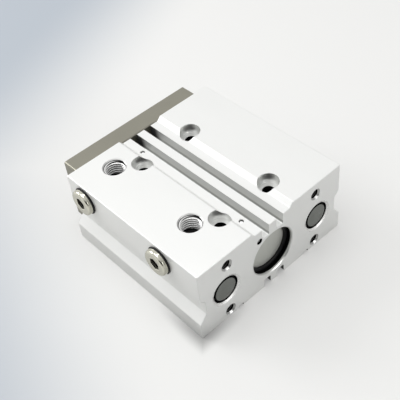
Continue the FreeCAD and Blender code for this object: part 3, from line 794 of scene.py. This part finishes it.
def rear_countersinks(dress):
    """Countersunk mouths of the tapped holes in the rear face, down to the thread's minor diameter."""
    minor_r = M5_HOLE_R - M5_THREAD.depth
    start = (REAR_Y + HAIR, M5_HOLE_R + M5_MOUTH)
    deep_y = REAR_Y + M5_HOLE_R + M5_MOUTH - minor_r
    profile = [start, (deep_y, minor_r), (deep_y, M5_HOLE_R - HAIR),
               (REAR_Y + M5_MOUTH + HAIR, M5_HOLE_R - HAIR), start]
    for place, mouth in four_places(REAR_HOLES):
        turned_piece(f"rear_countersink_{place}", profile, mouth.x, mouth.z, dress)


def hexagon_radius(angle, across_flats):
    """Distance from a hexagon's centre to its outline at an angle."""
    from_corner = (angle + math.pi / 6) % (math.pi / 3) - math.pi / 6
    return across_flats / 2 / math.cos(math.pi / 6 - abs(from_corner))


def port_plug(node, dress):
    """Plug with a rounded shoulder and a chamfered hexagon socket, in place of the plainer solid."""
    low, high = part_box(node)
    centre_y, centre_z = (low.y + high.y) / 2, (low.z + high.z) / 2
    head_r = (high.z - low.z) / 2
    seat_x = low.x + PLUG_HEAD
    floor_x = low.x + SOCKET_DEPTH
    mesh = bmesh.new()

    def section(x, radius_at):
        def place(angle):
            radius = radius_at(angle)
            return x, centre_y + radius * math.sin(angle), centre_z + radius * math.cos(angle)
        return ring(mesh, PLUG_STEPS, place)

    def circle(x, radius):
        return section(x, lambda angle: radius)

    def hexagon(x, across_flats):
        return section(x, lambda angle: hexagon_radius(angle, across_flats))

    rings = [circle(high.x, PLUG_THREAD_R * 0.2),
             circle(high.x, PLUG_THREAD_R - PLUG_END_CHAMFER),
             circle(high.x - PLUG_END_CHAMFER, PLUG_THREAD_R),
             circle(seat_x, PLUG_THREAD_R),
             circle(seat_x, head_r - PLUG_SEAT_EDGE),
             circle(seat_x - PLUG_SEAT_EDGE, head_r)]
    for step in range(PLUG_SHOULDER_STEPS + 1):
        angle = math.pi / 2 * step / PLUG_SHOULDER_STEPS
        rings.append(circle(low.x + PLUG_SHOULDER * (1 - math.sin(angle)),
                            head_r - PLUG_SHOULDER * (1 - math.cos(angle))))
    rings += [circle(low.x, head_r - PLUG_SHOULDER - 0.05 * MM),
              hexagon(low.x, SOCKET_AF + SOCKET_MOUTH),
              hexagon(low.x + SOCKET_MOUTH / 2, SOCKET_AF),
              hexagon(floor_x, SOCKET_AF),
              circle(floor_x, SOCKET_AF * 0.44),
              circle(floor_x + SOCKET_TIP, 0.2 * MM)]
    skin_rings(mesh, rings)
    cap_ends(mesh, rings)
    piece = add_piece(node + "_finished", mesh, dress)
    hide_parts(node)


# ---------------------------------------------------------------- stage


def from_left_side(finish):
    """How far a place of the floor lies outside the body's left side, or with a minus under it."""
    return finish.math("SUBTRACT", BODY_LOW.x, finish.x)


def floor_tone(finish):
    """Near white round the object and, where seen directly, cooler and greyer off to its left."""
    farther = finish.along(finish.place, FLOOR_FARTHER)
    aside = finish.math("ABSOLUTE", finish.off(farther, FLOOR_PALE_MIDDLE))
    away = finish.math("ADD", finish.math("MULTIPLY", aside, FLOOR_PALE_TAPER),
                       finish.along(finish.place, FLOOR_LEFTWARDS))
    cool = finish.all_of(finish.eased(away, *FLOOR_COOL_SPAN, 0.0, 1.0), finish.seen_directly())
    return finish.mix("RGBA", cool, (*FLOOR_PALE, 1.0), (*FLOOR_COOL, 1.0))


def contact_shade(finish):
    """Painted contact shadow: share of the floor's brightness left where the body's near rear corner
    meets the floor.
    """
    beside = from_left_side(finish)
    behind = finish.math("SUBTRACT", BODY_LOW.y, finish.y)
    from_edge = finish.any_of(beside, behind, 0.0)
    edge_share = finish.math("DIVIDE", from_edge, CONTACT_WIDTH)
    corner_share = finish.math("DIVIDE", finish.distance(beside, behind), CONTACT_REACH)
    return finish.eased(finish.distance(edge_share, corner_share), 0.0, 1.0, CONTACT_SHADE, 1.0)


def bounced_share(finish):
    """Painted shade for bounced light: share of the floor's brightness that lights the body, less at
    its rear and close to its left.
    """
    forwards = finish.along(finish.place, BOUNCE_FORWARDS)
    beside = from_left_side(finish)
    near = finish.any_of(finish.eased(beside, 0.0, BOUNCE_NEAR_WIDTH, BOUNCE_NEAR, 1.0),
                         finish.eased(beside, -BOUNCE_UNDER, 0.0, 1.0, 0.0))
    return finish.all_of(finish.eased(forwards, *BOUNCE_SPAN, BOUNCE_REAR, BOUNCE_FRONT), near)


def floor():
    """A pale matt floor that keeps the object's shadow."""
    mesh = bpy.data.meshes.new("studio_floor")
    half = FLOOR_SIZE / 2
    corners = [(x * half, y * half, -FLOOR_DROP) for x, y in ((-1, -1), (1, -1), (1, 1), (-1, 1))]
    mesh.from_pydata(corners, [], [(0, 1, 2, 3)])
    made = bpy.data.objects.new("studio_floor", mesh)
    bpy.context.scene.collection.objects.link(made)
    finish = Finish("studio_floor", FLOOR_PALE, 0.0, 0.9)
    finish.set_input("Specular IOR Level", 0.0)
    seen = finish.seen_directly()
    tone = floor_tone(finish)
    # Painted contact shadow and painted shade for bounced light, both in the floor's colour
    contact = contact_shade(finish)
    share = finish.ranged(seen, 0.0, 1.0, bounced_share(finish), FLOOR_BASE)
    finish.set_input("Base Color", finish.scaled(tone, finish.all_of(share, contact)))
    finish.set_input("Emission Color", tone)
    finish.set_input("Emission Strength", finish.all_of(seen, contact, FLOOR_LIFT))
    mesh.materials.append(finish.material)


def world():
    """Pale surroundings: brightest above and to the front left, dark low down to the rear left."""
    made = bpy.data.worlds.new("studio")
    bpy.context.scene.world = made
    made.use_nodes = True
    nodes = Nodes(made.node_tree)
    direction = nodes.node("ShaderNodeTexCoord").outputs["Generated"]
    glow = nodes.eased(nodes.along(direction, WORLD_BRIGHT_SIDE),
                       *WORLD_BRIGHT_SPAN, WORLD_LOW, WORLD_HIGH)
    dimmed = nodes.eased(nodes.along(direction, WORLD_DARK_SIDE), *WORLD_DARK_SPAN, 1.0, WORLD_DARK)
    background = made.node_tree.nodes["Background"]
    nodes.feed(background.inputs["Color"], (1.0, 1.0, 1.0, 1.0))
    nodes.feed(background.inputs["Strength"],
               nodes.any_of(nodes.all_of(glow, dimmed), nodes.seen_directly()))


def area_light(name, place, size, power):
    data = bpy.data.lights.new(name, "AREA")
    data.shape = "SQUARE"
    data.size = size
    data.energy = power
    light = bpy.data.objects.new(name, data)
    light.location = place
    light.rotation_mode = "QUATERNION"
    light.rotation_quaternion = (Vector((0, 0, AXIS_Z)) - Vector(place)).to_track_quat("-Z", "Y")
    bpy.context.scene.collection.objects.link(light)


def lights():
    area_light("key_behind_left", (-0.35, 0.75, 0.52), 0.45, 3.6)
    area_light("overhead", (-0.08, 0.12, 0.90), 0.6, 2.55)
    area_light("rear_fill", (0.12, -0.56, 0.15), 0.36, 1.0)


def camera():
    data = bpy.data.cameras.new("camera")
    data.sensor_width = 36.0
    data.lens = CAMERA_LENS
    data.clip_start = 0.01
    made = bpy.data.objects.new("camera", data)
    back = CAMERA_RIGHT.cross(CAMERA_UP)
    turn = Matrix((CAMERA_RIGHT, CAMERA_UP, back)).transposed()
    made.matrix_world = Matrix.Translation(CAMERA_PLACE) @ turn.to_4x4()
    bpy.context.scene.collection.objects.link(made)
    bpy.context.scene.camera = made


# ---------------------------------------------------------------- the scene


def on_housing(material):
    return Dress(material, "housing", "anodised_aluminium")


finishes = {make.__name__: make() for make in SLOT_FINISHES}
dress_nodes(finishes)
port_metal = thread_metal("port_thread_metal", (0.95, 0.95, 0.94), (0.02, 0.02, 0.02))
# The tapped holes' threads are dark all over: painted shade deep in the holes
shaded_hole_metal = thread_metal("hole_thread_metal", (0.10, 0.10, 0.10), HOLE_SHADE)
port_threads(on_housing(port_metal))
end_threads(REAR_HOLES, "rear_hole", on_housing(shaded_hole_metal))
end_threads(PLATE_HOLES, "plate_hole",
            Dress(finishes["nickel_plated_steel"], "carriage", "nickel_plated_steel"))
for plug in PLUG_NODES:
    port_plug(plug, Dress(finishes["nickel_plated_brass"], "housing", "nickel_plated_brass"))
guide_mouths(on_housing(mouth_metal("guide_lip_metal", (0.92, 0.92, 0.905))),
             Dress(finishes["chromed_steel"], "carriage", "chromed_steel"))
rear_countersinks(on_housing(mouth_metal("countersink_metal", (0.55, 0.55, 0.54))))
floor()
world()
lights()
camera()
bpy.context.scene.view_settings.view_transform = "Standard"
